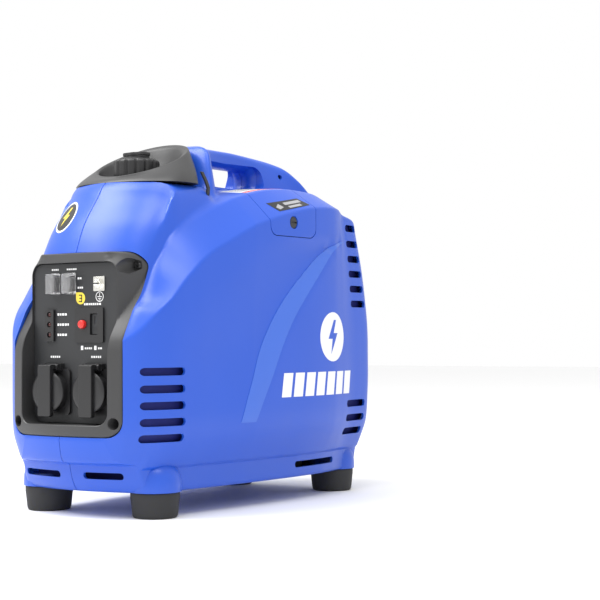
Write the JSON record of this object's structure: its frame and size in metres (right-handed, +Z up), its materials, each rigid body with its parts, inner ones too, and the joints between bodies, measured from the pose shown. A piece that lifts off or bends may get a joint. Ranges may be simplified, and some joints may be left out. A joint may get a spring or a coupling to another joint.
{
  "type": "inverter generator",
  "caption": "Suitcase inverter generator: clamshell casing with carrying handle, sloping filler hood, socket panel, recoil starter and rear exhaust grille.",
  "frame": {"origin": "on the ground under the middle of the machine's bounding box", "axes": "+Z up, -Y towards the control panel, +X towards the spark plug hatch"},
  "size_m": [0.2891, 0.5288, 0.455],
  "materials": {
    "blue_plastic": "satin moulded polypropylene with a fine grain",
    "black_plastic": "fine textured moulding",
    "inner_plastic": "plain moulding inside the casing",
    "panel_plastic": "smooth printed panel",
    "clear_boot": "clear soft splash boot",
    "red_plastic": "smooth",
    "black_rubber": "matte",
    "steel": "zinc plated",
    "cast_aluminium": "as cast",
    "stator_windings": "varnished copper wire; brass stands in for copper",
    "heat_black": "heat resistant black paint",
    "starter_cord": "braided cord"
  },
  "bodies": {
    "housing": {"recoil_side_casing": "blue_plastic", "plug_side_casing": "blue_plastic", "hood_collar": "black_plastic", "panel_bezel": "black_plastic", "indicator_block": "black_plastic", "dc_socket_plate": "black_plastic", "ac_socket_left": "black_plastic", "ac_socket_right": "black_plastic", "recoil_recess": "black_plastic", "rear_grille": "black_plastic", "recoil_housing": "inner_plastic", "fan_shroud": "inner_plastic", "air_cleaner": "inner_plastic", "ignition_coil": "inner_plastic", "fuel_tank": "inner_plastic", "control_panel": "panel_plastic", "econ_switch_boot": "clear_boot", "engine_switch_boot": "clear_boot", "rubber_foot_front_right": "black_rubber", "rubber_foot_front_left": "black_rubber", "rubber_foot_rear_right": "black_rubber", "rubber_foot_rear_left": "black_rubber", "engine_mount_front": "black_rubber", "engine_mount_rear": "black_rubber", "ground_terminal": "steel", "handle_screw_rear": "steel", "handle_screw_front": "steel", "engine_base": "steel", "spark_plug": "steel", "muffler": "steel", "exhaust_pipe": "steel", "crankcase": "cast_aluminium", "crankcase_cover": "cast_aluminium", "cylinder": "cast_aluminium", "cylinder_head": "cast_aluminium", "carburettor": "cast_aluminium", "inverter_module": "cast_aluminium", "stator": "stator_windings", "exhaust_outlet": "heat_black", "valve_cover": "heat_black"},
    "fuel_cap_seal": {"fuel_cap_seal": "black_rubber"},
    "fuel_cap": {"fuel_cap": "black_plastic"},
    "vent_lever": {"fuel_cap_vent_lever": "black_plastic"},
    "econ_switch": {"econ_switch": "black_plastic"},
    "engine_switch": {"engine_switch": "black_plastic"},
    "dc_breaker": {"dc_breaker_button": "red_plastic"},
    "ac_flap_left": {"ac_flap_left": "black_plastic"},
    "ac_flap_right": {"ac_flap_right": "black_plastic"},
    "recoil_grip": {"recoil_grip": "black_plastic", "starter_rope": "starter_cord"},
    "recoil_reel": {"recoil_reel": "steel"},
    "crank": {"crankshaft": "steel", "flywheel_rotor": "steel"},
    "choke_lever": {"choke_lever": "black_plastic"},
    "maintenance_cover": {"maintenance_cover": "blue_plastic"},
    "maintenance_cover_screw": {"maintenance_cover_screw": "steel"},
    "spark_plug_cover": {"spark_plug_cover": "blue_plastic"},
    "spark_plug_cover_screw": {"spark_plug_cover_screw": "steel"},
    "spark_plug_cap": {"spark_plug_cap": "black_rubber"},
    "oil_filler_cap": {"oil_filler_cap": "inner_plastic"}
  },
  "joints": [
    {"name": "fuel_cap_lift", "type": "slide", "parent": "housing", "child": "fuel_cap_seal", "axis": [0, 0, 1], "range_m": [0, 0.045]},
    {"name": "fuel_cap_turn", "type": "hinge", "parent": "fuel_cap_seal", "child": "fuel_cap", "pos_m": [0, -0.122, 0.415], "axis": [0, 0, 1], "range_deg": [0, 90]},
    {"name": "vent_lever_turn", "type": "hinge", "parent": "fuel_cap", "child": "vent_lever", "pos_m": [0, -0.122, 0.43], "axis": [0, 0, 1], "range_deg": [0, 90]},
    {"name": "econ_rocker", "type": "hinge", "parent": "housing", "child": "econ_switch", "pos_m": [-0.031, -0.231, 0.273], "axis": [-1, 0, 0], "range_deg": [0, 16]},
    {"name": "engine_rocker", "type": "hinge", "parent": "housing", "child": "engine_switch", "pos_m": [-0.006, -0.231, 0.273], "axis": [-1, 0, 0], "range_deg": [0, 16]},
    {"name": "dc_breaker_press", "type": "slide", "parent": "housing", "child": "dc_breaker", "axis": [0, 1, 0], "range_m": [0, 0.003], "stiffness_N_per_m": 600, "springref_m": -0.002},
    {"name": "ac_flap_left_hinge", "type": "hinge", "parent": "housing", "child": "ac_flap_left", "pos_m": [-0.032, -0.242, 0.175], "axis": [-1, 0, 0], "range_deg": [0, 100], "stiffness_Nm_per_rad": 0.02, "springref_deg": -17.19},
    {"name": "ac_flap_right_hinge", "type": "hinge", "parent": "housing", "child": "ac_flap_right", "pos_m": [0.032, -0.242, 0.175], "axis": [-1, 0, 0], "range_deg": [0, 100], "stiffness_Nm_per_rad": 0.02, "springref_deg": -17.19},
    {"name": "recoil_pull", "type": "slide", "parent": "housing", "child": "recoil_grip", "axis": [-1, 0, 0], "range_m": [0, 0.23], "stiffness_N_per_m": 20, "springref_m": -0.25},
    {"name": "reel_spin", "type": "hinge", "parent": "housing", "child": "recoil_reel", "pos_m": [-0.1, 0.02, 0.13], "axis": [1, 0, 0], "range_deg": [0, 300]},
    {"name": "crank_spin", "type": "hinge", "parent": "housing", "child": "crank", "pos_m": [0, 0.02, 0.13], "axis": [1, 0, 0], "continuous": true},
    {"name": "choke_slide", "type": "slide", "parent": "housing", "child": "choke_lever", "axis": [0, 1, 0], "range_m": [0, 0.036]},
    {"name": "maintenance_cover_lift_off", "type": "slide", "parent": "housing", "child": "maintenance_cover", "axis": [-1, 0, 0], "range_m": [0, 0.12]},
    {"name": "maintenance_cover_screw_turn", "type": "hinge", "parent": "housing", "child": "maintenance_cover_screw", "pos_m": [-0.12, 0.105, 0.387], "axis": [-1, 0, 0], "range_deg": [0, 360]},
    {"name": "spark_plug_cover_lift_off", "type": "slide", "parent": "housing", "child": "spark_plug_cover", "axis": [1, 0, 0], "range_m": [0, 0.08]},
    {"name": "spark_plug_cover_screw_turn", "type": "hinge", "parent": "spark_plug_cover", "child": "spark_plug_cover_screw", "pos_m": [0.143, 0.014, 0.353], "axis": [1, 0, 0], "range_deg": [0, 90]},
    {"name": "spark_plug_cap_pull", "type": "slide", "parent": "housing", "child": "spark_plug_cap", "axis": [0, 0, 1], "range_m": [0, 0.03]},
    {"name": "oil_filler_cap_turn", "type": "hinge", "parent": "housing", "child": "oil_filler_cap", "pos_m": [-0.098, 0.108, 0.067], "axis": [-1, 0, 0], "range_deg": [0, 180]}
  ],
  "couplings": [
    {"joint": "reel_spin", "follows": "recoil_pull", "rad_per_m": 22.222}
  ]
}
